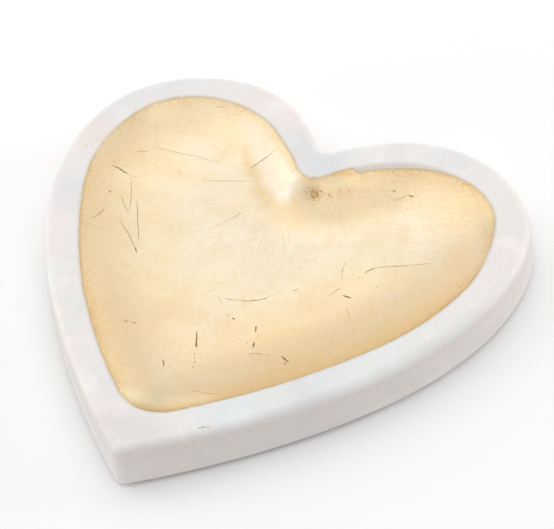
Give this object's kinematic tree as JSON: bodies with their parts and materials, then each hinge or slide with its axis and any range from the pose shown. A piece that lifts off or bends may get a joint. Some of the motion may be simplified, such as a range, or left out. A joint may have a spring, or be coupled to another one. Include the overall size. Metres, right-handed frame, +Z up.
{
  "type": "trinket dish",
  "caption": "Heart-shaped open trinket dish: a marble slab with a shallow carved hollow lined in gold leaf, standing on felt pads, for holding rings and keys.",
  "frame": {"origin": "under the middle of the dish, on the surface it stands on", "axes": "+Y from the tip of the heart to its notch, +Z up, and the heart is mirror-symmetric about X = 0"},
  "size_m": [0.15, 0.1496, 0.0167],
  "materials": {
    "marble": "honed white marble, satin",
    "gold_leaf": "laid gold-coloured metal leaf, lightly burnished, with fine cracks",
    "felt": "pressed felt, off-white"
  },
  "bodies": {
    "root": {"marble_body": "marble", "gold_leaf_lining": "gold_leaf", "foot_pad_tip": "felt", "foot_pad_left": "felt", "foot_pad_right": "felt"}
  },
  "joints": []
}
